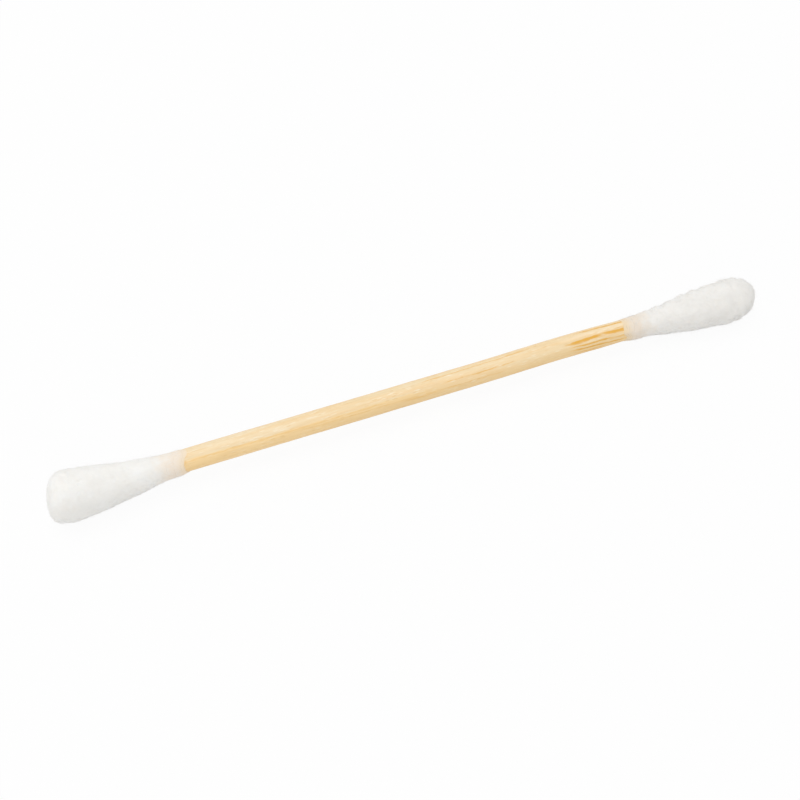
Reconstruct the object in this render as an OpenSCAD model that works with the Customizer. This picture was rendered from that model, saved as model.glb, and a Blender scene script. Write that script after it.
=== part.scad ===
// Double-ended cotton swab: a round bamboo stick with a cotton bud wound on each end.
// The swab lies on its two buds. +X runs along the stick towards the round bud, +Z is up,
// the table is z = 0, and x = 0 is midway between the two tips. All sizes are in millimetres.

/* [Whole swab] */
// Length from tip to tip
overall_length = 75; // [70:0.5:80]
// Depth of the small flat that each bud presses into itself where it lies
rest_flat_depth = 0.12; // [0.08:0.01:0.2]

/* [Stick] */
// Diameter of the bamboo stick
stick_diameter = 2.25; // [2:0.05:2.6]
// Bevel round each cut end of the stick
stick_bevel = 0.15; // [0.05:0.05:0.4]

/* [Blunt bud] */
// Diameter of the cotton at its fullest
blunt_diameter = 5.2; // [4.6:0.1:6]
// Length of the cotton, from its tip to its edge on the stick
blunt_length = 13.4; // [11:0.1:16]
// Distance from the tip to the fullest place
blunt_nose = 2.2; // [1.6:0.1:3]
// Squareness of the nose: 2 is an ellipse, more is blunter
blunt_squareness = 2.45; // [1.6:0.05:3]
// How far the fullness carries on past the fullest place
blunt_fullness = 1.7; // [1:0.1:4]
// How far the slender neck reaches back from the cotton's edge
blunt_neck = 2.8; // [2:0.1:6]
// Cotton in front of the stick's end
blunt_tip_cover = 1.6; // [1.2:0.1:2.4]
// Slant of the cotton's edge on the stick, in degrees
blunt_edge_slant = 21; // [0:1:25]

/* [Round bud] */
// Diameter of the cotton at its fullest
round_diameter = 4.66; // [4.4:0.02:5.2]
// Length of the cotton, from its tip to its edge on the stick
round_length = 14.9; // [13:0.1:17]
// Distance from the tip to the fullest place
round_nose = 2.8; // [2:0.1:4]
// Squareness of the nose: 2 is an ellipse, more is blunter
round_squareness = 1.8; // [1.6:0.05:3]
// How far the fullness carries on past the fullest place
round_fullness = 5.8; // [1:0.1:6]
// How far the slender neck reaches back from the cotton's edge
round_neck = 5.4; // [2:0.1:6]
// Cotton in front of the stick's end
round_tip_cover = 1.6; // [1.2:0.1:2.6]
// Slant of the cotton's edge on the stick, in degrees
round_edge_slant = 18; // [0:1:25]

/* [Winding] */
// Thickness of the cotton at its edge on the stick
edge_wall = 0.12; // [0.1:0.01:0.2]
// Length beside the edge where the single turns of cotton show
wound_length = 2.4; // [1.5:0.1:3]
// Distance from one turn of cotton to the next
turn_pitch = 0.6; // [0.4:0.05:1]
// Height of a turn over the dip beside it
turn_height = 0.04; // [0.02:0.01:0.06]

/* [Hidden] */

nose_steps = 12;      // straight steps in each nose curve
flare_steps = 18;     // straight steps in each flare, from the fullest place to the edge
steps_per_turn = 6;   // straight steps in each turn beside the edge
edge_facing = -55;    // degrees round the stick, from its top, to where the cotton reaches furthest
margin = 1;           // how far a cutting block passes what it cuts
$fn = 96;

stick_radius = stick_diameter / 2;
edge_radius = stick_radius + edge_wall;
half_length = overall_length / 2;

// Fullest places of the two buds, and the height of the stick's axis over them
blunt_belly_x = -half_length + blunt_nose;
round_belly_x = half_length - round_nose;
blunt_axis_height = blunt_diameter / 2 - rest_flat_depth;
round_axis_height = round_diameter / 2 - rest_flat_depth;

// The fuller bud holds its end of the stick a little higher
rise = blunt_axis_height - round_axis_height;
span = round_belly_x - blunt_belly_x;
rest_tilt = atan(rise / span);
middle_height = blunt_axis_height + rise * blunt_belly_x / span;

// Point on a cubic curve through p[0] and p[3], drawn towards p[1] and p[2]
function curve(p, t) =
    pow(1 - t, 3) * p[0] + 3 * pow(1 - t, 2) * t * p[1] + 3 * (1 - t) * pow(t, 2) * p[2] + pow(t, 3) * p[3];

// Points of the nose from the tip to the fullest place, as [distance from the tip, radius]
function nose_points(depth, radius, squareness) = [
    for (i = [0 : nose_steps])
        let (angle = 90 * i / nose_steps)
        [depth * (1 - pow(cos(angle), 2 / squareness)), radius * pow(sin(angle), 2 / squareness)]
];

// Points of the flare, from the fullest place down to the edge that hugs the stick
function flare_points(start, radius, end, fullness, neck) = [
    for (i = [1 : flare_steps])
        curve([[start, radius], [start + fullness, radius], [end - neck, edge_radius], [end, edge_radius]],
            i / flare_steps)
];

// A smooth outline with the turns beside its edge cut in: soft ridges with a dip between neighbours
function wound(smooth, start, end) =
    let (turns = ceil((end - start) / turn_pitch))
    concat(
        [for (p = smooth) if (p[0] < start) p],
        [for (i = [0 : turns * steps_per_turn])
            let (x = start + turn_pitch * i / steps_per_turn)
            [x, lookup(x, smooth) - turn_height * (1 - abs(cos(180 * i / steps_per_turn)))]]);

// A solid of cotton with its tip at x = 0, growing along +X to where its edge is cut on a slant
module cotton(diameter, length, nose, squareness, fullness, neck, edge_slant) {
    slant_reach = edge_radius * tan(edge_slant);
    smooth = concat(
        nose_points(nose, diameter / 2, squareness),
        flare_points(nose, diameter / 2, length, fullness, neck));
    outline = wound(smooth, length - wound_length, length + slant_reach);
    last = outline[len(outline) - 1];
    difference() {
        rotate([0, 90, 0])
            rotate_extrude()
                polygon(concat([for (p = outline) [p[1], p[0]]], [[0, last[0]]]));
        // The last turn runs out along a slant
        translate([length, 0, 0])
            rotate([edge_facing, 0, 0])
                rotate([0, edge_slant, 0])
                    translate([0, -diameter, -diameter])
                        cube([length, 2 * diameter, 2 * diameter]);
    }
}

// The bare stick, with its axis on the X axis
module stick_form() {
    start = -half_length + blunt_tip_cover;
    end = half_length - round_tip_cover;
    rotate([0, 90, 0])
        rotate_extrude()
            polygon([
                [0, start],
                [stick_radius - stick_bevel, start],
                [stick_radius, start + stick_bevel],
                [stick_radius, end - stick_bevel],
                [stick_radius - stick_bevel, end],
                [0, end]
            ]);
}

// Lays a piece that is drawn along the X axis onto the table
module laid_down() {
    translate([0, 0, middle_height])
        rotate([0, rest_tilt, 0])
            children();
}

// Cuts off what the table presses flat
module pressed_flat() {
    difference() {
        children();
        translate([-half_length - margin, -half_length, -half_length])
            cube([overall_length + 2 * margin, overall_length, half_length]);
    }
}

module stick() {
    color("burlywood")
        laid_down()
            stick_form();
}

// The cotton is wound straight onto the stick, so its bore is the stick's own form
module blunt_bud() {
    color("white")
        pressed_flat()
            laid_down()
                difference() {
                    translate([-half_length, 0, 0])
                        cotton(blunt_diameter, blunt_length, blunt_nose, blunt_squareness,
                            blunt_fullness, blunt_neck, blunt_edge_slant);
                    stick_form();
                }
}

module round_bud() {
    color("white")
        pressed_flat()
            laid_down()
                difference() {
                    translate([half_length, 0, 0])
                        mirror([1, 0, 0])
                            cotton(round_diameter, round_length, round_nose, round_squareness,
                                round_fullness, round_neck, round_edge_slant);
                    stick_form();
                }
}

stick();
blunt_bud();
round_bud();
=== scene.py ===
# %% [markdown]
# # A bamboo cotton swab
#
# A cotton swab is a thin stick with cotton wound on both ends. It has so little shape that everything rests
# on small things: the grain of the bamboo, the soft skin of the cotton with its loose fibres, and the beige
# edge where the wood shows through.
#
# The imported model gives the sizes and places. It is loaded first, and every later piece is placed from it.

# %% Load the fixed frame
import math

import bmesh
import bpy
import numpy as np
from mathutils import Matrix, Vector


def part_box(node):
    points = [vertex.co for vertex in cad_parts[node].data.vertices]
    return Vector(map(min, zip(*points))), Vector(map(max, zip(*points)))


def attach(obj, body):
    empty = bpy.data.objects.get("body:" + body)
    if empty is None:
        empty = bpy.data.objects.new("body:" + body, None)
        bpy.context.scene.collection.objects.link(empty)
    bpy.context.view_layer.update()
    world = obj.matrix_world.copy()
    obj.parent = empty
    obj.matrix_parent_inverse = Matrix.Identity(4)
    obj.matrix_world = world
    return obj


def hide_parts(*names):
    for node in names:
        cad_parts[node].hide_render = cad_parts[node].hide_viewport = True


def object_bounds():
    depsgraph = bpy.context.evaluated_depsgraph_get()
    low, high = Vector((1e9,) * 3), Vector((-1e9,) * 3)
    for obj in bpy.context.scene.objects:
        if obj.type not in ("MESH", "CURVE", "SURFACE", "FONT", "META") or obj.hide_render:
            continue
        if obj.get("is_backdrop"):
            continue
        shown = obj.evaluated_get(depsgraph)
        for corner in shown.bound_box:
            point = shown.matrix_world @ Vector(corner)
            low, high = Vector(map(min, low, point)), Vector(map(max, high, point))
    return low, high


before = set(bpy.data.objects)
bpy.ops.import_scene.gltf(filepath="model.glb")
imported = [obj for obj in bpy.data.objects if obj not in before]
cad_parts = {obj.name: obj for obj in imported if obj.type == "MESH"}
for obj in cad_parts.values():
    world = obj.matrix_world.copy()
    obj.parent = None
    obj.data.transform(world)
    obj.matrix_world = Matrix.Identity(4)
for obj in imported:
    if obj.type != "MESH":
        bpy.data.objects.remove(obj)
CAD_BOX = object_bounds()
MM = 0.001

for node_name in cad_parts:
    low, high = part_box(node_name)
    print(node_name, [round(v / MM, 2) for v in (high - low)], "mm")

# %% [markdown]
# ## Where the swab's own axis lies
#
# The swab rests on two buds of different thickness, so its stick leans a fraction of a degree. All pieces are
# first made along a straight axis, with x = 0 midway, and then laid down by one matrix, which comes from the
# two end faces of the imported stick.

# %% Find the axis of the stick
FACE_DEPTH = 0.05 * MM


def end_centre(node, side):
    """Centre of a node's end face: side is -1 for the low end along X and 1 for the high one."""
    corners = np.array([v.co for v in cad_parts[node].data.vertices])
    reach = corners[:, 0] * side
    face = corners[reach > reach.max() - FACE_DEPTH]
    return Vector((face.min(0) + face.max(0)) / 2)


STICK_LOW = end_centre("stick", -1)
STICK_HIGH = end_centre("stick", 1)
STICK_LENGTH = (STICK_HIGH - STICK_LOW).length
STICK_RADIUS = (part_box("stick")[1].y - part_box("stick")[0].y) / 2
AXIS = (STICK_HIGH - STICK_LOW).normalized()
LEAN = math.atan2(-AXIS.z, AXIS.x)
AXIS_HEIGHT = STICK_LOW.z - AXIS.z / AXIS.x * STICK_LOW.x
LAID_DOWN = Matrix.Translation((0, 0, AXIS_HEIGHT)) @ Matrix.Rotation(LEAN, 4, "Y")

print("lean", round(math.degrees(LEAN), 3), "degrees, axis height", round(AXIS_HEIGHT / MM, 3), "mm")

# %% [markdown]
# ## Camera
#
# The photograph looks down on the swab from the left. The elevation and the focal length are given, and for
# these the azimuth, the distance and the aim were worked out from where the two tips and the edges of the
# stick lie in the picture.

# %% Camera
PICTURE_PIXELS = 800
SENSOR_WIDTH = 36.0
AZIMUTH = math.radians(-20.135)
ELEVATION = math.radians(55)
DISTANCE = 149.23 * MM
CLIP_START = 5 * MM
FOCAL_PIXELS = 1500
AIM_RIGHT = -1.779 * MM
AIM_UP = -0.887 * MM


def into_scene(name, data):
    """A new object for a mesh, a lamp or a camera."""
    made = bpy.data.objects.new(name, data)
    bpy.context.collection.objects.link(made)
    return made


back = Vector((
    math.sin(AZIMUTH) * math.cos(ELEVATION),
    -math.cos(AZIMUTH) * math.cos(ELEVATION),
    math.sin(ELEVATION),
))
right = Vector((math.cos(AZIMUTH), math.sin(AZIMUTH), 0))
up = back.cross(right)
aim = Vector((0, 0, AXIS_HEIGHT)) + AIM_RIGHT * right + AIM_UP * up

camera_data = bpy.data.cameras.new("camera")
camera_data.sensor_width = SENSOR_WIDTH
camera_data.lens = FOCAL_PIXELS * SENSOR_WIDTH / PICTURE_PIXELS
camera_data.clip_start = CLIP_START
camera = into_scene("camera", camera_data)
looking = Matrix((right, up, back)).transposed().to_4x4()
camera.matrix_world = Matrix.Translation(aim + DISTANCE * back) @ looking
bpy.context.scene.camera = camera
print("lens", round(camera_data.lens, 1), "mm")

# %% [markdown]
# ## Building node trees
#
# Materials and Geometry Nodes are both trees of nodes. Small helpers keep them readable: one adds a node and
# feeds its sockets, one opens a new group, and the others stand for the nodes that are used most.


# %% Helpers for node trees
def feed(node, inputs):
    """Feeds a node's inputs, each with a plain value or with another node's output."""
    for socket, value in inputs.items():
        if isinstance(value, bpy.types.NodeSocket):
            node.id_data.links.new(value, node.inputs[socket])
        else:
            node.inputs[socket].default_value = value
    return node


def add(tree, kind, inputs=None, **settings):
    """A new node, with its options set and its inputs fed."""
    made = tree.nodes.new(kind)
    for name, value in settings.items():
        setattr(made, name, value)
    return feed(made, inputs or {})


def calc(tree, operation, *values):
    """The result of a Math node on numbers or sockets."""
    return add(tree, "ShaderNodeMath", dict(enumerate(values)), operation=operation).outputs[0]


def product(tree, first, *others):
    """All the numbers or sockets multiplied."""
    for other in others:
        first = calc(tree, "MULTIPLY", first, other)
    return first


def centred(tree, value):
    """A value from 0 to 1, moved to lie round 0."""
    return calc(tree, "SUBTRACT", value, 0.5)


def vector_calc(tree, operation, *values):
    """The vector result of a Vector Math node."""
    return add(tree, "ShaderNodeVectorMath", dict(enumerate(values)), operation=operation).outputs["Vector"]


def scaled(tree, vector, factor):
    """A vector times a number."""
    made = add(tree, "ShaderNodeVectorMath", {0: vector, "Scale": factor}, operation="SCALE")
    return made.outputs["Vector"]


def combine(tree, x, y, z):
    """Three values as one vector."""
    return add(tree, "ShaderNodeCombineXYZ", {0: x, 1: y, 2: z}).outputs[0]


def split(tree, vector):
    """The three values of a vector."""
    return add(tree, "ShaderNodeSeparateXYZ", {0: vector}).outputs


def noise(tree, vector, scale, detail, roughness=0.5, distortion=0.0):
    """The outputs of a Noise node: first a value, then a colour."""
    return add(tree, "ShaderNodeTexNoise", {
        "Vector": vector, "Scale": scale, "Detail": detail, "Roughness": roughness, "Distortion": distortion,
    }).outputs


def remap(tree, value, from_min, from_max, to_min=0.0, to_max=1.0, smooth=False):
    """A value moved from one range to another and held inside it."""
    inputs = {"Value": value, "From Min": from_min, "From Max": from_max, "To Min": to_min, "To Max": to_max}
    kind = "SMOOTHSTEP" if smooth else "LINEAR"
    return add(tree, "ShaderNodeMapRange", inputs, interpolation_type=kind).outputs["Result"]


def mix_colour(tree, factor, first, second, blend="MIX"):
    """Two colours mixed; sockets 6 and 7 of a Mix node are its colours."""
    inputs = {0: factor, 6: first, 7: second}
    return add(tree, "ShaderNodeMix", inputs, data_type="RGBA", blend_type=blend).outputs[2]


def new_tree(name, kind, inputs, output):
    """A node group; an input is a default number or a kind of socket, the output a label and a kind."""
    tree = bpy.data.node_groups.new(name, kind)
    for label, value in inputs.items():
        socket = {float: "Float", int: "Int"}.get(type(value), value)
        made = tree.interface.new_socket(label, in_out="INPUT", socket_type="NodeSocket" + socket)
        if socket != value:
            made.default_value = value
    tree.interface.new_socket(output[0], in_out="OUTPUT", socket_type="NodeSocket" + output[1])
    return tree, tree.nodes.new("NodeGroupInput").outputs, tree.nodes.new("NodeGroupOutput")


def shown(tree):
    """Prints the size of a finished tree and hands it on."""
    print(tree.name, len(tree.nodes), "nodes")
    return tree


def add_group(tree, group, inputs):
    """The output of a placed copy of a node group."""
    return add(tree, "ShaderNodeGroup", inputs, node_tree=group).outputs[0]


def new_material(name):
    """A material, its node tree, its Principled shader, and the place on the object."""
    material = bpy.data.materials.new(name)
    material.use_nodes = True
    tree = material.node_tree
    return material, tree, tree.nodes["Principled BSDF"], add(tree, "ShaderNodeTexCoord").outputs["Object"]


def linear(red, green, blue):
    """A colour as it is seen, 0 to 255, in the linear values that a shader works with."""
    shares = [v / 255 for v in (red, green, blue)]
    return (*[v / 12.92 if v <= 0.04045 else ((v + 0.055) / 1.055) ** 2.4 for v in shares], 1.0)


# %% [markdown]
# ## Bamboo: shape
#
# The stick is split from a bamboo cane and rounded through a die. It isn't a perfect rod: the hard fibres
# leave fine ridges and grooves along it, its section has faint flats, and it wanders by a few hundredths of a
# millimetre. A plain cylinder with bump would look right only from afar, so the ridges are real geometry.
#
# Geometry Nodes roll a grid into a tube: one side of it runs along, the other goes round. Noise that is
# stretched about twelve times along the grain raises the fibres. It is read on the tube itself, so there is
# no seam where the grid closes.

# %% Helpers for geometry trees
def geometry(tree, kind, inputs=None, **settings):
    """The first output of a Geometry node."""
    return add(tree, "GeometryNode" + kind, inputs, **settings).outputs[0]


def finish_geometry(tree, made, given, result):
    """Smooth shading, instances made real, the material, and the way out."""
    made = geometry(tree, "SetShadeSmooth", {0: made})
    made = geometry(tree, "RealizeInstances", {0: made})
    made = geometry(tree, "SetMaterial", {0: made, "Material": given["Material"]})
    feed(result, {"Geometry": made})
    return shown(tree)


# %% A tree that rolls a grid into a grained stick
GROOVES_ROUND = 5.5
GROOVE_RUN = 14 * MM
FLATS_ROUND = 0.9
FLAT_RUN = 30 * MM
WAIST_RUN = 4 * MM
BOW_REACH = 9 * MM
BOW_TOWARDS = (0.82, 0.57)
WANDER_RATE = 60.0
CLOSED_END = 0.01 * MM
SEAM_GAP = 0.001 * MM
STICK_LOOK = {
    "Length": STICK_LENGTH, "Radius": STICK_RADIUS, "Steps along": 460, "Steps round": 168,
    "Groove depth": 0.05 * MM, "Flat depth": 0.06 * MM, "Wander": 0.12 * MM,
    "Bow": 0.08 * MM, "Bow centre": 14.5 * MM, "Waist": 0.04, "Waist start": 19 * MM,
}


def make_stick_tree():
    tree, given, result = new_tree("Grained stick", "GeometryNodeTree", {
        **STICK_LOOK, "Material": "Material",
    }, ("Geometry", "Geometry"))
    grid = add(tree, "GeometryNodeMeshGrid", {
        "Size X": given["Length"], "Size Y": 1.0,
        "Vertices X": given["Steps along"], "Vertices Y": given["Steps round"],
    })
    place = split(tree, geometry(tree, "InputPosition"))
    along = place["X"]
    turn = product(tree, place["Y"], -2 * math.pi)
    round_y = calc(tree, "COSINE", turn)
    round_z = calc(tree, "SINE", turn)

    # Noise in the tube's own space: slow along the grain, quick across it
    def grain(across, stretch, detail, offset):
        spot = combine(tree, calc(tree, "MULTIPLY_ADD", along, 1 / stretch, offset), round_y, round_z)
        return centred(tree, noise(tree, spot, across, detail, roughness=0.6)[0])

    grooves = product(tree, grain(GROOVES_ROUND, GROOVE_RUN, detail=3.0, offset=3.0), given["Groove depth"])
    flats = product(tree, grain(FLATS_ROUND, FLAT_RUN, detail=0.0, offset=7.0), given["Flat depth"])
    waist_end = calc(tree, "ADD", given["Waist start"], WAIST_RUN)
    in_waist = remap(tree, along, given["Waist start"], waist_end, smooth=True)
    slimmer = calc(tree, "SUBTRACT", 1.0, product(tree, in_waist, given["Waist"]))
    smooth_radius = product(tree, given["Radius"], slimmer)
    radius = calc(tree, "ADD", smooth_radius, calc(tree, "ADD", grooves, flats))

    # Both ends close to a point, inside the cotton
    end_gap = calc(tree, "SUBTRACT", product(tree, given["Length"], 0.5), calc(tree, "ABSOLUTE", along))
    radius = product(tree, radius, calc(tree, "GREATER_THAN", end_gap, CLOSED_END))

    # The axis wanders a little in two directions
    def drift(offset):
        spot = combine(tree, product(tree, along, WANDER_RATE), offset, 0.0)
        return product(tree, centred(tree, noise(tree, spot, scale=1.0, detail=1.0)[0]), given["Wander"])

    from_bow = calc(tree, "ABSOLUTE", calc(tree, "SUBTRACT", along, given["Bow centre"]))
    bow = product(tree, remap(tree, from_bow, 0, BOW_REACH, 1, 0, smooth=True), given["Bow"])
    centre_y = calc(tree, "MULTIPLY_ADD", bow, BOW_TOWARDS[0], drift(2.0))
    centre_z = calc(tree, "MULTIPLY_ADD", bow, BOW_TOWARDS[1], drift(9.0))
    rolled_y = calc(tree, "MULTIPLY_ADD", round_y, radius, centre_y)
    rolled_z = calc(tree, "MULTIPLY_ADD", round_z, radius, centre_z)
    rolled = combine(tree, along, rolled_y, rolled_z)
    tube = geometry(tree, "StoreNamedAttribute", {
        "Geometry": grid.outputs["Mesh"], "Name": "UVMap", "Value": grid.outputs["UV Map"],
    }, data_type="FLOAT2", domain="CORNER")
    tube = geometry(tree, "SetPosition", {0: tube, "Position": rolled})
    tube = geometry(tree, "MergeByDistance", {0: tube, "Distance": SEAM_GAP})
    return finish_geometry(tree, tube, given, result)


# %% Run a tree
def place_mesh(name, mesh):
    """An object for a finished mesh."""
    triangles = sum(len(p.vertices) - 2 for p in mesh.polygons)
    print(name, len(mesh.vertices), "vertices,", triangles, "triangles")
    return into_scene(name, mesh)


def grow(name, tree, values, base=None):
    """Runs a tree on a copy of a base mesh, or on nothing, and keeps a plain mesh."""
    start = base.data.copy() if base else bpy.data.meshes.new(name)
    carrier = into_scene(name + "_carrier", start)
    modifier = carrier.modifiers.new("tree", "NODES")
    modifier.node_group = tree
    sockets = {s.name: s.identifier for s in tree.interface.items_tree if s.in_out == "INPUT"}
    for label, value in values.items():
        modifier[sockets[label]] = value
    bpy.context.view_layer.update()
    evaluated = carrier.evaluated_get(bpy.context.evaluated_depsgraph_get())
    mesh = bpy.data.meshes.new_from_object(evaluated)
    bpy.data.objects.remove(carrier)
    mesh.name = name
    return place_mesh(name, mesh)


# %% [markdown]
# ## Bamboo: surface
#
# Bare bamboo is cream to straw yellow. Cut lengthwise it shows a fine, even grain, short pale dashes where
# the cutter opened soft cells, and thin orange streaks with tapered ends, which are hard fibres. The grain is
# noise stretched along the stick, in a node group, because it is needed at several scales.

# %% Node group: lengthwise grain
GRAIN_DETAIL = 2.0
GRAIN_ROUGHNESS = 0.55


def stretched(tree, given):
    """The input vector squeezed along the stick, so that a pattern read on it comes out long."""
    return vector_calc(tree, "MULTIPLY", given["Vector"], combine(tree, given["Stretch"], 1.0, 1.0))


def make_grain_group():
    tree, given, result = new_tree("Lengthwise grain", "ShaderNodeTree", {
        "Vector": "Vector", "Across": 4000.0, "Stretch": 0.02,
    }, ("Value", "Float"))
    grain = noise(tree, stretched(tree, given), given["Across"], GRAIN_DETAIL, GRAIN_ROUGHNESS)
    feed(result, {"Value": grain[0]})
    return shown(tree)


grain_group = make_grain_group()

# %% [markdown]
# The dashes are small and separate, so noise doesn't give them. A Voronoi texture does: it scatters one point
# in each cell, and near some of those points a dash is drawn. Squeezed cells make the dashes long.

# %% Node group: scattered dashes
DASH_CORE = 0.4
FAINTEST_DASH = 0.5


def make_dash_group():
    """Across counts cells to the metre, Share says how many cells hold a dash, and Size is its half width."""
    tree, given, result = new_tree("Scattered dashes", "ShaderNodeTree", {
        "Vector": "Vector", "Across": 4000.0, "Stretch": 0.25, "Share": 0.5, "Size": 0.35,
    }, ("Mask", "Float"))
    cells = add(tree, "ShaderNodeTexVoronoi", {"Vector": stretched(tree, given), "Scale": given["Across"]})
    chance = add(tree, "ShaderNodeSeparateColor", {0: cells.outputs["Color"]}).outputs
    present = calc(tree, "LESS_THAN", chance[0], given["Share"])
    core = product(tree, given["Size"], DASH_CORE)
    near = remap(tree, cells.outputs["Distance"], core, given["Size"], 1, 0, smooth=True)
    strength = remap(tree, chance[1], 0, 1, FAINTEST_DASH, 1)
    feed(result, {"Mask": product(tree, near, present, strength)})
    return shown(tree)


dash_group = make_dash_group()

# %% [markdown]
# The streaks sit in particular places. One node group draws a single streak, and it is placed once for each.
# Noise moves a streak sideways and breaks it up, because a line drawn with a ruler never looks like wood.

# %% Node group: one vascular streak
STREAK_TAPER = 1.7 * MM
STREAK_SWAY = 12.0
STREAK_CORE = 0.35
THINNEST_STREAK = 0.01


def make_streak_group():
    """A long thin spot on the stick. Along is in metres from the middle, and Around in degrees."""
    tree, given, result = new_tree("Vascular streak", "ShaderNodeTree", {
        "Along": 0.0, "Around": 0.0, "Ragged": 0.5, "Gaps": 0.0, "Start": 0.0, "End": 0.01,
        "Angle": 0.0, "Width": 5.0, "Slant": 0.0, "Strength": 1.0, "Broken": 0.0,
    }, ("Mask", "Float"))
    full_from = calc(tree, "ADD", given["Start"], STREAK_TAPER)
    full_to = calc(tree, "SUBTRACT", given["End"], STREAK_TAPER)
    rises = remap(tree, given["Along"], given["Start"], full_from, smooth=True)
    falls = remap(tree, given["Along"], full_to, given["End"], 1, 0, smooth=True)
    length = product(tree, rises, falls)

    from_start = calc(tree, "SUBTRACT", given["Along"], given["Start"])
    leaning = calc(tree, "MULTIPLY_ADD", from_start, given["Slant"], given["Angle"])
    centre = calc(tree, "MULTIPLY_ADD", centred(tree, given["Ragged"]), STREAK_SWAY, leaning)
    away = calc(tree, "ABSOLUTE", calc(tree, "SUBTRACT", given["Around"], centre))
    width = calc(tree, "MULTIPLY_ADD", given["Width"], calc(tree, "POWER", length, 0.5), THINNEST_STREAK)
    across = remap(tree, away, product(tree, width, STREAK_CORE), width, 1, 0, smooth=True)

    whole = calc(tree, "SUBTRACT", 1.0, product(tree, given["Broken"], given["Gaps"]))
    feed(result, {"Mask": product(tree, length, across, given["Strength"], whole)})
    return shown(tree)


streak_group = make_streak_group()

# %% [markdown]
# Angles on the stick are counted from the line that faces the viewer, and grow downwards in the picture. Each
# streak is given one by one: its start and end along the stick in millimetres, its angle and half width in
# degrees, its slant in degrees for each millimetre, its strength, and how broken it is. The thick ones by the
# round bud cross and leave pale wood between them.

# %% Colours and streaks of the bamboo
CREAM = linear(246, 225, 186)
PALE_END = linear(248, 227, 190)
STRAW = linear(248, 219, 173)
# The two tans colour the stick's lower side: painted shade, partly the wood's own tan.
SHADE_SIDE_TAN = linear(249, 216, 160)
SHADE_SIDE_TAN_END = linear(255, 221, 163)
ORANGE = linear(234, 176, 72)
GRAIN_DARK = linear(232, 194, 132)
PALE = linear(255, 243, 218)

FACING_ANGLE = 123.3
DARK_STREAKS = [
    # start, end, angle, half width, slant, strength, broken
    (-27.5, -3.0, 11, 6, 0.0, 0.2, 0.5),
    (-13.0, 4.0, 24, 5, 0.2, 0.2, 0.6),
    (-2.5, 2.5, 34, 5, 0.0, 0.35, 0.3),
    (-0.5, 12.5, -38, 5, -0.7, 0.5, 0.4),
    (1.5, 10.8, -1, 5, -0.2, 0.55, 0.7),
    (1.0, 9.5, 28, 5, 0.2, 0.35, 0.6),
    (15.2, 20.6, 0, 12, -1.6, 1.0, 0.1),
    (18.9, 25.5, -14, 12, 2.9, 0.95, 0.1),
    (18.0, 25.5, -3, 14, 0.0, 0.4, 0.3),
    (16.6, 25.5, -59, 8, 1.2, 0.8, 0.3),
    (20.0, 25.5, -22, 6, 0.0, 0.3, 0.3),
    (15.6, 21.6, 15, 5, 1.6, 0.9, 0.2),
    (15.6, 23.0, 31, 6, 3.0, 0.9, 0.2),
    (16.0, 20.4, 59, 6, 1.0, 0.8, 0.2),
    (19.5, 25.5, 26, 7, 0.5, 0.5, 0.6),
    (15.0, 24.0, 78, 7, 0.3, 0.6, 0.3),
    (-22.0, -6.0, 95, 6, 0.1, 0.5, 0.5),
    (-8.0, 14.0, 128, 7, 0.1, 0.6, 0.5),
    (4.0, 23.0, 160, 6, -0.1, 0.5, 0.4),
    (-25.0, -9.0, -150, 6, 0.1, 0.5, 0.5),
    (-4.0, 18.0, -118, 6, 0.1, 0.5, 0.5),
    (-23.0, -4.0, -84, 5, 0.1, 0.4, 0.5),
]
# Pale streaks by the round bud: partly paler wood, partly painted glints.
PALE_WOOD_AND_GLINTS = [
    (14.5, 25.5, -34, 13, 0.0, 0.35, 0.2),
    (17.2, 19.6, 9, 5, 1.0, 0.5, 0.0),
    (19.2, 22.0, 3, 5, 0.0, 0.6, 0.0),
]


# %% Helper for the streaks
def draw_streaks(tree, rows, place):
    """The strongest mask of all the streaks in the rows."""
    masks = None
    for start, end, angle, width, slant, strength, broken in rows:
        mask = add_group(tree, streak_group, {
            **place,
            "Start": start * MM, "End": end * MM, "Angle": float(angle), "Width": float(width),
            "Slant": slant / MM, "Strength": strength, "Broken": broken,
        })
        masks = calc(tree, "MAXIMUM", masks, mask) if masks else mask
    return masks


# %% [markdown]
# The side of the stick that lies lower in the view is darker and more tan: partly the wood's own colour,
# partly painted shade. Its border is sharp towards the blunt bud and a soft change towards the round one.

# %% Helper for the painted shade on the lower side
BORDER_SOFTENS = (-2 * MM, 6 * MM)
BORDER_ANGLE = (3.0, 20.0)
BORDER_WIDTH = (5.0, 38.0)
BORDER_SWAY = 14.0
SHADE_SIDE_ENDS = (115, 165)


def painted_lower_shade(tree, along, around, ragged):
    """How far each place on the stick lies in its darker lower side: painted shade, partly the wood's own
    tan.
    """
    soft = remap(tree, along, *BORDER_SOFTENS, smooth=True)
    border = remap(tree, soft, 0, 1, *BORDER_ANGLE)
    half_width = remap(tree, soft, 0, 1, *BORDER_WIDTH)
    swayed = calc(tree, "MULTIPLY_ADD", centred(tree, ragged), BORDER_SWAY, around)
    past = calc(tree, "DIVIDE", calc(tree, "SUBTRACT", swayed, border), half_width)
    not_yet_round = remap(tree, around, *SHADE_SIDE_ENDS, 1, 0, smooth=True)
    return product(tree, remap(tree, past, -1, 1, smooth=True), not_yet_round)


# %% [markdown]
# The material lays pattern over pattern, from broad bands of colour to single streaks. A pattern of the grain
# has a scale across, a stretch along the stick, and the part of the noise that shows.

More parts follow.
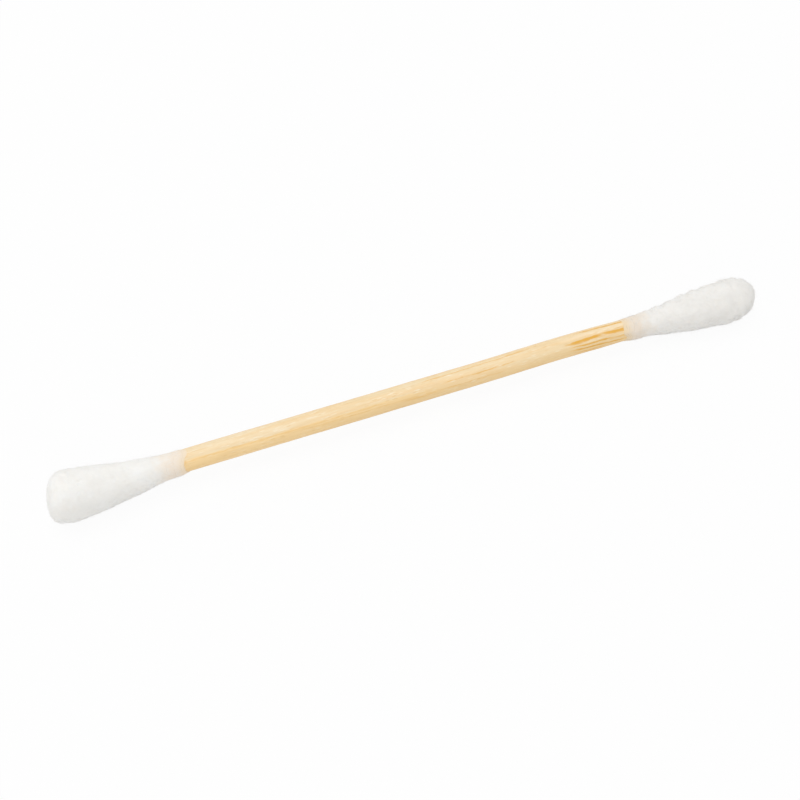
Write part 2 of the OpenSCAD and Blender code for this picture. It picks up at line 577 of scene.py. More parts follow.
# %% Bamboo material
BANDS = (1500.0, 0.05, 0.4, 0.62)
FINE_GRAIN = (4200.0, 0.09, 0.42, 0.66)
HAIR_GRAIN = (9000.0, 0.04, 0.35, 0.65)
STREAK_GAPS = (2600.0, 0.4, 0.48, 0.64)
CELL_ROWS = (2300.0, 0.12, 0.4, 0.55)
RAGGED_COARSE = (1600.0, 0.3)
RAGGED_FINE = (5000.0, 0.3)
FINE_SHARE = 0.6
DARK_DASHES = {"Across": 4700.0, "Stretch": 0.22, "Share": 0.5, "Size": 0.34}
PALE_DASHES = {"Across": 7500.0, "Stretch": 0.12, "Share": 1.0, "Size": 0.38}
PALE_END_REACH = (-16 * MM, -4 * MM)
SHADE_SIDE_TAN_REACH = (-18 * MM, 2 * MM)
DASHES_ON_SHADE_SIDE = 0.5
ROUGHNESS_RANGE = (0.5, 0.68)


def make_bamboo():
    material, tree, shader, spot = new_material("bare_bamboo")
    upright = add(tree, "ShaderNodeMapping", {"Vector": spot, "Rotation": (0, -LEAN, 0)}).outputs[0]

    def grain(across, stretch):
        return add_group(tree, grain_group, {"Vector": upright, "Across": across, "Stretch": stretch})

    def pattern(across, stretch, low, high):
        return remap(tree, grain(across, stretch), low, high)

    def dashes(given):
        return add_group(tree, dash_group, {"Vector": upright, **given})

    uv = split(tree, add(tree, "ShaderNodeUVMap", uv_map="UVMap").outputs[0])
    along = product(tree, centred(tree, uv["X"]), STICK_LENGTH)
    turned = calc(tree, "MULTIPLY_ADD", uv["Y"], -360.0, 180.0 - FACING_ANGLE)
    around = calc(tree, "WRAP", turned, 180.0, -180.0)
    jitter = centred(tree, grain(*RAGGED_FINE))
    ragged = calc(tree, "MULTIPLY_ADD", jitter, FINE_SHARE, grain(*RAGGED_COARSE))
    place = {"Along": along, "Around": around, "Ragged": ragged, "Gaps": pattern(*STREAK_GAPS)}

    pale_end = remap(tree, along, *PALE_END_REACH, 1, 0, smooth=True)
    ground = mix_colour(tree, pattern(*BANDS), mix_colour(tree, pale_end, CREAM, PALE_END), STRAW)
    # Lower side of the stick: painted shade, partly the wood's own tan.
    shade_side_tan = mix_colour(tree, remap(tree, along, *SHADE_SIDE_TAN_REACH), SHADE_SIDE_TAN_END, SHADE_SIDE_TAN)
    fine = pattern(*FINE_GRAIN)
    shade = painted_lower_shade(tree, along, around, ragged)
    rows = product(tree, pattern(*CELL_ROWS), remap(tree, shade, 0, 1, 1.0, DASHES_ON_SHADE_SIDE))
    for mask, amount, colour in (
        # the lower side: painted shade, partly the wood's own tan
        (shade, 0.92, shade_side_tan),
        (fine, 0.22, GRAIN_DARK),
        (pattern(*HAIR_GRAIN), 0.1, GRAIN_DARK),
        (dashes(DARK_DASHES), 0.55, GRAIN_DARK),
        (product(tree, dashes(PALE_DASHES), rows), 0.9, PALE),
        # pale streaks: partly paler wood, partly painted glints
        (draw_streaks(tree, PALE_WOOD_AND_GLINTS, place), 0.8, PALE),
        (draw_streaks(tree, DARK_STREAKS, place), 1.0, ORANGE),
    ):
        ground = mix_colour(tree, product(tree, mask, amount), ground, colour)
    bump = add(tree, "ShaderNodeBump", {"Height": fine, "Strength": 0.35, "Distance": 0.01 * MM})
    feed(shader, {
        "Base Color": ground,
        "Roughness": remap(tree, fine, 0, 1, *ROUGHNESS_RANGE),
        "Specular IOR Level": 0.3,
        "Normal": bump.outputs[0],
    })
    print(material.name, len(tree.nodes), "nodes")
    return material


# %% Grow the stick
bamboo = make_bamboo()
stick = grow("bamboo_stick", make_stick_tree(), {**STICK_LOOK, "Material": bamboo})
stick.data.transform(LAID_DOWN)
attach(stick, "root")
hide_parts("stick")

# %% [markdown]
# ## Cotton: shape
#
# A bud is a ribbon of loose cotton that is wound on the turning stick and pressed into a mould. So it is
# nearly a turned shape: a blunt or round nose, a long flare, and a thin collar that hugs the wood. What
# makes it cotton is how it departs from that: soft lumps, the turns of the winding, a nose that leans to one
# side, a few creases, and a small flat where it lies on the table.
#
# A turned body would be too even, and sculpted noise wouldn't follow the winding. So the skin is worked out
# point by point: rings of points on a turned outline, each moved a little. The outline has the formulas of
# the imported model, with values of its own.

# %% Outline of a bud
OUTLINE_STEPS = 400
EDGE_WALL = 0.12 * MM


def bud_outline(shape, radius, edge_radius):
    """Distance from the tip and radius, from the tip to the edge of the cotton."""
    nose, length = shape["nose"], shape["length"]
    power = 2 / shape["squareness"]
    quarter = np.linspace(0, math.pi / 2, OUTLINE_STEPS)
    nose_u = nose * (1 - np.cos(quarter) ** power)
    nose_r = radius * np.sin(quarter) ** power
    t = np.linspace(0, 1, OUTLINE_STEPS)[1:, None]
    guide = np.array([
        [nose, radius], [nose + shape["fullness"], radius],
        [length - shape["neck"], edge_radius], [length, edge_radius],
    ])
    flare = ((1 - t) ** 3 * guide[0] + 3 * (1 - t) ** 2 * t * guide[1]
             + 3 * (1 - t) * t ** 2 * guide[2] + t ** 3 * guide[3])
    return np.append(nose_u, flare[:, 0]), np.append(nose_r, flare[:, 1])


# %% [markdown]
# Rings are spent where they are needed: close together at the nose, which curves, and on the collar, where
# the turns of cotton are finest.

# %% Rings of points
ROUND_STEPS = 224
NOSE_RINGS = 60
BODY_RINGS = 110
COLLAR_RINGS = 150
COLLAR_LENGTH = 4.2 * MM


def ring_grid(shape):
    """Distance from the tip and angle round the axis, as two grids with one row for each ring."""
    nose, length = shape["nose"], shape["length"]
    collar = length - COLLAR_LENGTH
    rings = np.concatenate([
        nose * np.linspace(0, 1, NOSE_RINGS + 1)[1:] ** 2,
        np.linspace(nose, collar, BODY_RINGS + 1)[1:],
        np.linspace(collar, length, COLLAR_RINGS + 1)[1:],
    ])
    return np.meshgrid(rings, np.linspace(0, 2 * math.pi, ROUND_STEPS, endpoint=False), indexing="ij")


print(NOSE_RINGS + BODY_RINGS + COLLAR_RINGS, "rings of", ROUND_STEPS, "points for each bud")

# %% [markdown]
# Soft lumps need noise that is smooth, repeatable and has no seam round the bud. A sum of a few dozen waves
# in random directions has all three: the same seed always gives the same lumps.


# %% Smooth noise and steps
def ripples(points, size, seed, waves=36):
    """Smooth noise with a spread of about 1 at each point; size is the width of its lumps."""
    random = np.random.default_rng(seed)
    direction = random.normal(size=(waves, 3))
    direction /= np.linalg.norm(direction, axis=1)[:, None]
    frequency = math.pi / size * random.uniform(0.6, 1.4, waves)
    phase = random.uniform(0, 2 * math.pi, waves)
    return np.cos(points @ (direction * frequency[:, None]).T + phase).sum(-1) * math.sqrt(2 / waves)


def layered(points, seed, layers):
    """Smooth noise of several sizes; a layer is its height, its size and its step of the seed."""
    return sum(height * ripples(points, size, seed + step) for height, size, step in layers)


def smooth_step(value, low, high):
    """A soft change from 0 to 1 between two values."""
    t = np.clip((value - low) / (high - low), 0, 1)
    return t * t * (3 - 2 * t)


# %% [markdown]
# On a real swab the edge of the cotton isn't cut square: the ribbon ends in a slanted, wavy line, and is a
# little ragged. The noses aren't quite even either: each is pushed in on the far side.

# %% Edge and nose
FAR_SIDE = math.radians(35)
EDGE_RAG = 0.025 * MM
EDGE_RAG_SIZE = 0.35
PUSH_FADES = (0.6 * MM, 4 * MM)
SHORTENED_LENGTH = 3.5 * MM


def edge_line(T, look):
    """How far the cotton's edge lies beyond its mean place, at each angle."""
    around = np.stack([np.cos(T), np.sin(T), 0 * T], -1)
    wave = np.interp(np.degrees(T), *zip(*look["edge"]), period=360) * MM
    return wave + EDGE_RAG * ripples(around, EDGE_RAG_SIZE, look["seed"] + 5)


def nose_push(U, T, R, radius, look):
    """How far the nose lies behind its turned place."""
    pushed = look["nose_cut"] * np.clip(np.cos(T - FAR_SIDE) * R / radius, 0, 1)
    shortened = look["nose_short"] * (1 - smooth_step(U, 0, SHORTENED_LENGTH))
    return pushed * (1 - smooth_step(U, *PUSH_FADES)) + shortened


# %% [markdown]
# The skin has four kinds of relief: lumps from uneven cotton, wide turns on the body, which stand out on the
# side where the ribbon overlaps, a few slits between the last turns on the collar, and everywhere the matted
# texture of the fibres.

# %% Relief of the skin
LUMPS = ((0.6, 2.2 * MM, 0), (0.3, 0.9 * MM, 1), (0.15, 0.45 * MM, 6))
MATTED = ((1.0, 0.22 * MM, 2), (0.7, 0.12 * MM, 3))
MATTED_DEPTH = 0.006 * MM
OVERLAP_FROM = 0.6
TURN_LEAN = 0.5
WOBBLE = 1.3
WOBBLE_SIZE = 3 * MM
SLIT_DEPTH = 0.022 * MM
SLIT_WIDTH = 0.05 * MM
SLIT_SWAY = 0.04 * MM
SLIT_SWAY_SIZE = 0.8 * MM
SLIT_SHARE = 0.6
SLIT_UNEVEN = 0.5
SLIT_PATCH_SIZE = 0.4 * MM


def body_relief(points, U, T, side, look):
    """Lumps and wide turns, as a height for each point."""
    far = smooth_step(np.cos(T - FAR_SIDE), OVERLAP_FROM, 1.0)
    count = np.interp(U / MM, look["dips"], range(len(look["dips"])))
    lean = TURN_LEAN * (T - FAR_SIDE) * side
    wobble = WOBBLE * (1 - far) * ripples(points, WOBBLE_SIZE, look["seed"] + 4)
    turns = -0.5 * np.cos(2 * (math.pi * count - lean + wobble))
    lumps = look["lump"] * layered(points, look["seed"], LUMPS)
    return lumps + look["winding"] * turns * (1 + look["overlap"] * far)


def collar_slits(points, to_edge, look):
    """How deep each point lies in a slit between two turns, from 0 to 1."""
    from_edge = to_edge + SLIT_SWAY * ripples(points, SLIT_SWAY_SIZE, look["seed"] + 7)
    patches = ripples(points, SLIT_PATCH_SIZE, look["seed"] + 8)
    slits = [strength * np.exp(-(((from_edge - place * MM) / SLIT_WIDTH) ** 2))
             for place, strength in look["slits"]]
    return np.max(slits, axis=0) * np.clip(SLIT_SHARE + SLIT_UNEVEN * patches, 0, 1)


# %% [markdown]
# A crease is a shallow valley round the line between two points of the unrolled skin. Beyond it the skin can
# lie lower, as on a ledge.

# %% Creases
SHALLOW_ENDS = 0.08
LEDGE_STARTS = (0, 0.5)
LEDGE_FADES = (1.0, 2.0)


def crease_depth(U, T, radius, crease):
    """How far a crease and its ledge press in each point; the ledge's limits are in radians."""
    start_u, start_turn, end_u, end_turn, width, depth, ledge = crease
    middle = math.radians((start_turn + end_turn) / 2)
    unrolled = (T - middle + math.pi) % (2 * math.pi) - math.pi + middle
    start = np.array([start_u * MM, math.radians(start_turn) * radius])
    end = np.array([end_u * MM, math.radians(end_turn) * radius])
    skin = np.stack([U, unrolled * radius], -1)
    span = end - start
    t = np.clip((skin - start) @ span / (span @ span), 0, 1)
    gap = np.linalg.norm(skin - (start + t[..., None] * span), axis=-1)
    fade = np.sin(math.pi * (SHALLOW_ENDS + (1 - 2 * SHALLOW_ENDS) * t))
    beyond = unrolled - np.radians(start_turn + (end_turn - start_turn) * t)
    lower = smooth_step(beyond, *LEDGE_STARTS) * (1 - smooth_step(beyond, *LEDGE_FADES))
    return fade * MM * (depth * np.exp(-((gap / (width * MM)) ** 2)) + ledge * lower)


# %% [markdown]
# The rings become a closed mesh: a fan of faces at the tip, bands between the rings, and a last short cone
# that turns in to the wood. It is laid down, and what would sink into the table is pressed up softly.

# %% Close a bud and lay it down
TABLE_SOFTNESS = 0.03 * MM
TABLE_SINK = 0.1 * TABLE_SOFTNESS


def pressed_on_table(points):
    z = points[:, 2]
    points[:, 2] = np.maximum(0.5 * (z + np.sqrt(z ** 2 + TABLE_SOFTNESS ** 2)) - TABLE_SINK, 0.0)
    return points


def bud_faces(rings, steps, tip, core):
    """Faces between rings of points, closed at both ends by fans round the points tip and core."""
    last = (rings - 1) * steps
    faces = []
    for j in range(steps):
        k = (j + 1) % steps
        faces.append((tip, k, j))
        faces.append((core, last + j, last + k))
        for i in range(0, last, steps):
            faces.append((i + j, i + k, i + steps + k, i + steps + j))
    return faces


def close_bud(name, grid, tip, core, marks):
    """A closed mesh object from a grid of points; marks become attributes of the points."""
    rings, steps = grid.shape[:2]
    points = np.concatenate([grid.reshape(-1, 3), [tip, core]])
    laid = (np.array(LAID_DOWN) @ np.column_stack([points, np.ones(len(points))]).T).T[:, :3]
    laid = pressed_on_table(laid)
    mesh = bpy.data.meshes.new(name)
    mesh.from_pydata(laid.tolist(), [], bud_faces(rings, steps, len(points) - 2, len(points) - 1))
    work = bmesh.new()
    work.from_mesh(mesh)
    bmesh.ops.recalc_face_normals(work, faces=work.faces)
    work.to_mesh(mesh)
    work.free()
    mesh.shade_smooth()
    for mark, (values, at_tip, at_core) in marks.items():
        kept = np.append(values.reshape(-1), [at_tip, at_core]).astype(np.float32)
        mesh.attributes.new(mark, "FLOAT", "POINT").data.foreach_set("value", kept)
    return place_mesh(name, mesh)


# %% [markdown]
# One function puts it all together. It also works out three marks that the material will read: how thin the
# cotton is, where it is only a veil on the wood, and where the slits are.

# %% Build one bud
FIBRE_COAT = 0.04 * MM
SAG_DIRECTION = np.array([0, -0.95, -0.3]) / math.hypot(0.95, 0.3)
RIM_STEPS = ((0.93, 0.03 * MM), (0.86, 0.0))
BODY_STARTS = (0.3 * MM, 5 * MM)
RELIEF_AT_TIP = 0.3
MATTED_ON_COLLAR = 0.3
TAPER_LENGTH = 0.9 * MM


def at_least(low, share):
    """A share from 0 to 1, moved into the range from low to 1."""
    return low + (1 - low) * share


def make_bud(name, node, side, look):
    """side is -1 for the bud on the low end along X and 1 for the other one."""
    low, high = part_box(node)
    radius = (high.y - low.y) / 2
    tip_x = low.x if side < 0 else high.x
    edge_radius = STICK_RADIUS + EDGE_WALL
    length, nose = look["shape"]["length"], look["shape"]["nose"]

    U, T = ring_grid(look["shape"])
    R = np.interp(U, *bud_outline(look["shape"], radius, edge_radius)) - FIBRE_COAT * smooth_step(U, 0, nose)
    on_collar = np.clip((U - (length - COLLAR_LENGTH)) / COLLAR_LENGTH, 0, 1)
    shift = edge_line(T, look) * on_collar
    U = U + shift + nose_push(U, T, R, radius, look)
    to_edge = length + shift - U

    skin = np.stack([U, R * np.cos(T), R * np.sin(T)], -1)
    on_body = smooth_step(to_edge, *BODY_STARTS) * at_least(RELIEF_AT_TIP, smooth_step(U, 0, nose))
    slits = collar_slits(skin, to_edge, look)
    R = R + body_relief(skin, U, T, side, look) * on_body
    R = R - SLIT_DEPTH * slits - look["edge_taper"] * MM * smooth_step(to_edge, TAPER_LENGTH, 0)
    R = R + MATTED_DEPTH * layered(skin, look["seed"], MATTED) * at_least(MATTED_ON_COLLAR, on_body)
    R = R + np.interp(U / MM, *zip(*look["girth"])) * MM
    for crease in look["creases"]:
        R = R - crease_depth(U, T, radius, crease)

    sag = np.interp(U, *zip(*[(a * MM, b * MM) for a, b in look["sag"]]))
    round_axis = np.stack([0 * T, np.cos(T), np.sin(T)], -1)
    grid = R[..., None] * round_axis + sag[..., None] * SAG_DIRECTION
    grid[..., 0] = tip_x - side * U
    rim = [grid[-1] * (1, shrink, shrink) - (side * step_in, 0, 0) for shrink, step_in in RIM_STEPS]
    tip = np.array([tip_x - side * look["nose_short"], 0, 0]) + sag[0].mean() * SAG_DIRECTION
    core = np.array([tip_x - side * (length - MM), 0, 0])

    thin = 1 - smooth_step(to_edge, 0, look["thin_length"])
    veil = look["veil"] * (1 - smooth_step(to_edge, 0, look["veil_length"]))
    flat_rim = np.ones((len(rim), ROUND_STEPS))
    marks = {
        "thin": (np.concatenate([thin, flat_rim]), 0, 1),
        "veil": (np.concatenate([veil, flat_rim * veil[-1]]), 0, 0),
        "slit": (np.concatenate([slits, 0 * flat_rim]), 0, 0),
    }
    return close_bud(name, np.concatenate([grid, np.array(rim)]), tip, core, marks)


# %% [markdown]
# ## Cotton: surface
# The slits between the turns get painted shade.
#
# Cotton is white, rough and without gloss. Light goes into it and comes out again near by, which softens its
# shading, so it gets subsurface scattering. Where it thins out on the collar it has no depth for that, and
# the wood shows through: first as a warm beige, and in the last millimetre or so as a tint of the wood.
#
# The skin and the loose fibres are the same cotton, so its colour is one node group that both use.

# %% Node group: colour of cotton
COTTON_WHITE = linear(250, 248, 245)
COTTON_GREY = linear(246, 244, 241)
COTTON_THIN = linear(247, 234, 219)
COTTON_VEIL = linear(249, 227, 193)
# Slits between the last turns are painted darker: painted shade, tinted by the wood.
COTTON_SLIT_SHADE = linear(222, 206, 184)
GREY_SHOWS = (0.35, 0.65)
THIN_SHOWS = (0.15, 0.9)
THIN_PATCHES = 0.7
SLIT_SHADE_SHARE = 0.7
BLUE_SHARE = 0.99


def make_cotton_group():
    tree, given, result = new_tree("Cotton colour", "ShaderNodeTree", {
        "Vector": "Vector", "Thin": 0.0, "Veil": 0.0, "Slit": 0.0, "Bleach": 1.0,
    }, ("Color", "Color"))
    soft = noise(tree, given["Vector"], scale=700.0, detail=3.0)[0]
    patches = centred(tree, noise(tree, given["Vector"], scale=1300.0, detail=2.0)[0])
    patchy = calc(tree, "MULTIPLY_ADD", patches, THIN_PATCHES, given["Thin"])
    thin = remap(tree, patchy, *THIN_SHOWS, smooth=True)
    colour = mix_colour(tree, remap(tree, soft, *GREY_SHOWS), COTTON_WHITE, COTTON_GREY)
    colour = mix_colour(tree, thin, colour, COTTON_THIN)
    colour = mix_colour(tree, given["Veil"], colour, COTTON_VEIL)
    # Painted shade in the slits between turns, tinted by the wood.
    colour = mix_colour(tree, product(tree, given["Slit"], SLIT_SHADE_SHARE), colour, COTTON_SLIT_SHADE)
    bleach = combine(tree, given["Bleach"], given["Bleach"], product(tree, given["Bleach"], BLUE_SHARE))
    feed(result, {"Color": mix_colour(tree, 1.0, colour, bleach, blend="MULTIPLY")})
    return shown(tree)


cotton_group = make_cotton_group()

# %% Cotton material
SCATTER_WEIGHT = 0.6
SCATTER_LENGTH = 0.8 * MM
SCATTER_COLOURS = (1.0, 0.95, 0.9)
NO_SCATTER_FROM = 0.8
STRAND_STRETCH = (2.5, 1.0, 1.0)


def make_cotton(name, bleach):
    """Cotton; bleach is how white it is, where 1 is the whitest."""
    material, tree, shader, spot = new_material(name)
    marks = {label: add(tree, "ShaderNodeAttribute", attribute_name=label.lower()).outputs["Fac"]
             for label in ("Thin", "Veil", "Slit")}
    on_strands = vector_calc(tree, "MULTIPLY", spot, STRAND_STRETCH)
    strands = noise(tree, on_strands, scale=3500.0, detail=4.0, roughness=0.65, distortion=1.2)[0]
    bump = add(tree, "ShaderNodeBump", {"Height": strands, "Strength": 0.5, "Distance": 0.03 * MM})
    feed(shader, {
        "Base Color": add_group(tree, cotton_group, {"Vector": spot, "Bleach": bleach, **marks}),
        "Roughness": 0.95,
        "Specular IOR Level": 0.15,
        "Sheen Weight": 0.25,
        "Normal": bump.outputs[0],
        "Subsurface Weight": remap(tree, marks["Thin"], 0, NO_SCATTER_FROM, SCATTER_WEIGHT, 0),
        "Subsurface Radius": SCATTER_COLOURS,
        "Subsurface Scale": SCATTER_LENGTH,
    })
    return material


# %% [markdown]
# No two buds come out alike. What tells these two apart is written down here.
#
# At some distances from the tip, sag is how far the bud's axis hangs below the stick's, girth how much fuller
# it is than its turned outline (below zero, slimmer), and dips where the skin dips between wide turns on the
# far side. The edge list says how far the edge reaches at some angles. A crease is its two ends (distance and
# angle), its width, its depth (below zero, a ridge) and the ledge beyond it. A slit is its distance from the
# edge and its strength. Distances in these lists, like the taper of the edge, are in millimetres, and angles
# are in degrees.

# %% How the two buds look
BLUNT = {
    "shape": {
        "nose": 2.2 * MM, "squareness": 2.45, "fullness": 2.35 * MM, "neck": 4.5 * MM, "length": 13.69 * MM,
    },
    "sag": [
        (0, 0.65), (0.2, 0.5), (0.4, 0.34), (0.95, 0.12), (1.4, 0.06), (2.5, 0.1), (3.3, 0.15), (5, 0.16),
        (8, 0.25), (10.4, 0.14), (12, 0.11), (13, 0.1), (13.6, 0.05), (15, 0),
    ],
    "girth": [
        (2.4, 0), (3.4, -0.055), (4.4, 0), (8.0, 0), (8.8, 0.04), (9.3, 0.06), (10.0, 0), (11.2, -0.03),
        (12.4, 0), (13.1, 0.03), (13.6, 0),
    ],
    "creases": [
        (2.0, 60, 1.9, 170, 0.2, 0.03, 0),
        (3.4, 93, 3.8, 97, 0.12, 0.13, 0),
        (3.15, 103, 3.6, 107, 0.1, 0.1, 0),
    ],
    "nose_cut": 0.3 * MM, "nose_short": 0.0,
    "seed": 11, "lump": 0.016 * MM,
    "winding": 0.005 * MM, "overlap": 3.0, "dips": np.arange(0.5, 14.5, 0.9),
    "edge": [
        (0, 0.2), (54, 0.23), (81, 0.22), (98, 0.07), (113, -0.22), (128, -0.36), (143, -0.42), (159, -0.41),
        (172, -0.4), (180, -0.36), (189, -0.26), (230, 0.05), (290, 0.15),
    ],
    "edge_taper": 0.06, "thin_length": 5 * MM, "veil": 0.6, "veil_length": 1.0 * MM,
    "slits": [(0.4, 0.35), (1.2, 0.4), (1.9, 0.3)],
}
ROUND = {
    "shape": {
        "nose": 2.8 * MM, "squareness": 1.78, "fullness": 5.8 * MM, "neck": 5.5 * MM, "length": 15.27 * MM,
    },
    "sag": [
        (0, -0.06), (0.5, -0.03), (1.2, 0.08), (2.2, 0.15), (3.0, 0.18), (3.8, 0.2), (4.5, 0.22), (7, 0.22),
        (9, 0.2), (11, 0.14), (13, 0.05), (14, 0.1), (14.7, 0.06), (15.2, 0.02),
    ],
    "girth": [
        (2.4, 0), (3.1, -0.03), (3.9, 0.07), (4.8, 0), (8.2, 0), (8.9, -0.02), (9.8, 0), (10.9, 0.045),
        (11.8, 0), (12.6, -0.045), (13.8, 0),
    ],
    "creases": [
        (10.5, 140, 2.6, 154, 0.4, 0.04, 0.1),
        (2.05, 185, 2.05, 240, 0.35, 0.14, 0),
        (0.8, 185, 0.8, 240, 0.35, -0.12, 0),
        (1.75, 15, 1.75, 60, 0.3, 0.1, 0),
    ],
    "nose_cut": 0.02 * MM, "nose_short": 0.09 * MM,
    "seed": 23, "lump": 0.035 * MM,
    "winding": 0.018 * MM, "overlap": 6.5,
    "dips": [0.7, 1.6, 2.5, 4.1, 6.1, 7.5, 8.8, 10.5, 11.6, 13.3, 14.4, 15.5],
    "edge": [
        (0, 0.05), (54, 0.01), (74, -0.09), (98, -0.05), (113, 0.07), (128, 0.11), (143, 0.14), (159, -0.05),
        (172, -0.13), (189, -0.06), (250, 0.05), (320, 0.1),
    ],
    "edge_taper": 0.07, "thin_length": 4.9 * MM, "veil": 1.0, "veil_length": 1.15 * MM,
    "slits": [(0.0, 1.0), (0.3, 1.0), (0.55, 0.5), (1.1, 0.5), (1.7, 0.3)],
}
BLEACH = {"blunt": 0.995, "round": 0.94}

# %% Wind both buds
buds = {
    "blunt": make_bud("blunt_cotton", "blunt_bud", -1, BLUNT),
    "round": make_bud("round_cotton", "round_bud", 1, ROUND),
}
for which, bud in buds.items():
    bud.data.materials.append(make_cotton(which + "_bud_cotton", BLEACH[which]))
    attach(bud, "root")
    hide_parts(which + "_bud")

# %% [markdown]
# ## Cotton: loose fibres
#
# Single cotton fibres are about 15 thousandths of a millimetre thick. They lie matted on the skin, and some
# stand off it in loose curls, which makes the outline of cotton soft. There are thousands, so they are grown
# by Geometry Nodes: points on the skin, a short line on each, bent by noise, and a three-sided tube round it.

# %% A tree that grows fibres on a skin
RIM_MARK = 0.97
LOWEST_ROOT = 0.15 * MM
LOWEST_STRAND = 0.02 * MM
LIFT_POWER = 8.0
LIFT_SEED = 3
SIZE_SEED = 5
LINE_POINTS = 7
BEND_SCALE = 2600.0
BEND_POWER = 1.3
THIN_ENDS = 0.5
FIBRES = {
    "Density": 2.2e7, "Shortest": 0.3 * MM, "Longest": 0.9 * MM, "Curl": 0.25 * MM, "Thickness": 0.007 * MM,
}


def random_between(tree, low, high, seed):
    """A random number for each point."""
    return add(tree, "FunctionNodeRandomValue", {2: low, 3: high, "Seed": seed}, data_type="FLOAT").outputs[1]


def make_fuzz_tree():
    tree, given, result = new_tree("Cotton fuzz", "GeometryNodeTree", {
        "Geometry": "Geometry", **FIBRES, "Stand": 0.0, "Seed": 0, "Material": "Material",
    }, ("Geometry", "Geometry"))
    thin = geometry(tree, "InputNamedAttribute", {"Name": "thin"}, data_type="FLOAT")
    on_rim = calc(tree, "GREATER_THAN", thin, RIM_MARK)
    on_table = calc(tree, "LESS_THAN", split(tree, geometry(tree, "InputPosition"))["Z"], LOWEST_ROOT)
    points = add(tree, "GeometryNodeDistributePointsOnFaces", {
        "Mesh": given["Geometry"],
        "Selection": calc(tree, "LESS_THAN", calc(tree, "MAXIMUM", on_rim, on_table), 0.5),
        "Density": given["Density"], "Seed": given["Seed"],
    }, distribute_method="RANDOM").outputs

    # Each fibre leans its own way, more along the skin than off it
    any_way = add(tree, "FunctionNodeRandomValue", {0: (-1, -1, -1), 1: (1, 1, 1), "Seed": given["Seed"]},
                  data_type="FLOAT_VECTOR").outputs[0]
    sideways = vector_calc(tree, "NORMALIZE", vector_calc(tree, "CROSS_PRODUCT", points["Normal"], any_way))
    chance = random_between(tree, 0.0, 1.0, LIFT_SEED)
    lift = product(tree, calc(tree, "POWER", chance, LIFT_POWER), given["Stand"])
    leaning = vector_calc(tree, "ADD", sideways, scaled(tree, points["Normal"], lift))
    turned = add(tree, "FunctionNodeAlignRotationToVector", {"Vector": leaning}, axis="Z").outputs[0]
    size = random_between(tree, given["Shortest"], given["Longest"], SIZE_SEED)
    line = geometry(tree, "CurvePrimitiveLine", {"Start": (0, 0, -0.5), "End": (0, 0, 0.5)})
    line = geometry(tree, "ResampleCurve", {"Curve": line, "Count": LINE_POINTS})
    strands = geometry(tree, "InstanceOnPoints", {
        "Points": points["Points"], "Instance": line, "Rotation": turned, "Scale": size,
    })
    strands = geometry(tree, "RealizeInstances", {0: strands})

    # A fibre touches the skin at its middle, and noise bends it more towards its free ends
    factor = geometry(tree, "SplineParameter")
    off_middle = calc(tree, "ABSOLUTE", calc(tree, "MULTIPLY_ADD", factor, 2.0, -1.0))
    swing = noise(tree, geometry(tree, "InputPosition"), BEND_SCALE, detail=1.0)[1]
    swing = vector_calc(tree, "SUBTRACT", swing, (0.5, 0.5, 0.5))
    bend = product(tree, calc(tree, "POWER", off_middle, BEND_POWER), given["Curl"])
    strands = geometry(tree, "SetPosition", {0: strands, "Offset": scaled(tree, swing, bend)})
    spot = split(tree, geometry(tree, "InputPosition"))
    above = combine(tree, spot["X"], spot["Y"], calc(tree, "MAXIMUM", spot["Z"], LOWEST_STRAND))
    strands = geometry(tree, "SetPosition", {0: strands, "Position": above})
    ring = geometry(tree, "CurvePrimitiveCircle", {"Resolution": 3, "Radius": given["Thickness"]})
    tubes = geometry(tree, "CurveToMesh", {
        "Curve": strands, "Profile Curve": ring,
        "Scale": remap(tree, off_middle, 0, 1, 1.0, THIN_ENDS), "Fill Caps": True,
    })
    return finish_geometry(tree, tubes, given, result)


# %% Fibre material
def make_fibre(name, bleach):
    material, tree, shader, spot = new_material(name)
    feed(shader, {
        "Base Color": add_group(tree, cotton_group, {"Vector": spot, "Bleach": bleach}),
        "Roughness": 0.7,
        "Specular IOR Level": 0.2,
    })
    return material


# %% [markdown]
# A single fibre is nearly see-through, and thousands of little shadows would make the cotton look dirty. So
# the fibres cast none.

# %% Grow the fibres
FUZZ_LOOK = {"blunt": {"Stand": 0.9, "Seed": 4}, "round": {"Stand": 1.8, "Seed": 9}}

fuzz_tree = make_fuzz_tree()
for which, bud in buds.items():
    name = which + "_fuzz"
    fibre = make_fibre(name + "_fibre", BLEACH[which])
    fuzz = grow(name, fuzz_tree, {**FIBRES, **FUZZ_LOOK[which], "Material": fibre}, base=bud)
    fuzz.visible_shadow = False
    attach(fuzz, "root")

# %% [markdown]
# ## Floor and light
#
# The swab lies on plain white, lit softly from above, with almost no shadow. The floor shows white to the
# camera and to reflections and keeps a faint contact shadow. Two large lamps and an even sky light the
# object at a plain level, so that a colour renders about as it is written.

# %% Floor
SHADOW_SHARE = 0.06
FLOOR_SIZE = 3.0
FLOOR_GREY = (0.86, 0.86, 0.86, 1)
WHITE = (1, 1, 1, 1)


def seen_rays(tree):
    """1 for rays from the camera, straight or by reflection, and 0 for other rays."""
    path = add(tree, "ShaderNodeLightPath").outputs
    indirect = calc(tree, "MAXIMUM", path["Is Glossy Ray"], path["Is Transmission Ray"])
    return calc(tree, "MAXIMUM", path["Is Camera Ray"], indirect)


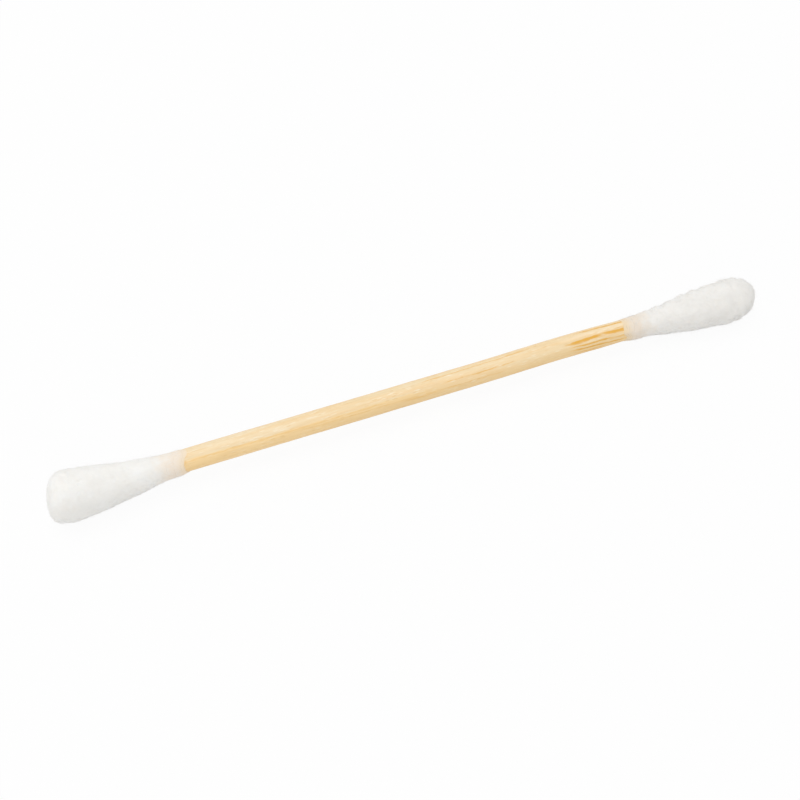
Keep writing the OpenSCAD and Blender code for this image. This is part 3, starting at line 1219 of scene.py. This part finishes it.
def make_floor():
    material, tree, shader, _ = new_material("floor_white")
    feed(shader, {"Base Color": FLOOR_GREY, "Roughness": 0.9, "Specular IOR Level": 0.0})
    white = add(tree, "ShaderNodeEmission", {"Color": WHITE, "Strength": 1.0})
    share = product(tree, seen_rays(tree), 1 - SHADOW_SHARE)
    mixed = add(tree, "ShaderNodeMixShader", {0: share, 1: shader.outputs[0], 2: white.outputs[0]})
    feed(tree.nodes["Material Output"], {"Surface": mixed.outputs[0]})
    return material


floor_mesh = bpy.data.meshes.new("floor")
half = FLOOR_SIZE / 2
corners = [(-half, -half, 0), (half, -half, 0), (half, half, 0), (-half, half, 0)]
floor_mesh.from_pydata(corners, [], [(0, 1, 2, 3)])
floor_mesh.materials.append(make_floor())
floor = place_mesh("floor", floor_mesh)
floor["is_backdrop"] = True

# %% Sky and lamps
SKY_STRENGTH = 0.62
LAMP_SIZE = 0.6

world = bpy.data.worlds.new("studio")
bpy.context.scene.world = world
world.use_nodes = True
sky = world.node_tree
sky.nodes.clear()
strength = remap(sky, seen_rays(sky), 0, 1, SKY_STRENGTH, 1.0)
background = add(sky, "ShaderNodeBackground", {"Color": WHITE, "Strength": strength})
add(sky, "ShaderNodeOutputWorld", {0: background.outputs[0]})


def add_lamp(name, place, watts):
    """A square lamp that points at the swab."""
    data = bpy.data.lights.new(name, "AREA")
    data.size = LAMP_SIZE
    data.energy = watts
    lamp = into_scene(name, data)
    lamp.location = place
    lamp.rotation_euler = Vector(place).to_track_quat("Z", "Y").to_euler()
    print(name, watts, "W")


add_lamp("lamp_above", place=(-0.12, 0.15, 0.65), watts=1.92)
add_lamp("lamp_front", place=(-0.2, -0.6, 0.5), watts=0.78)
bpy.context.scene.view_settings.view_transform = "Standard"

# %% [markdown]
# ## Finish
#
# The box of the imported model and the box of the dressed one are printed side by side.

# %% Compare sizes and finish
box_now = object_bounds()
for label, box in (("CAD", CAD_BOX), ("dressed", box_now)):
    print(label, [round(v / MM, 3) for v in (*box[0], *box[1])])
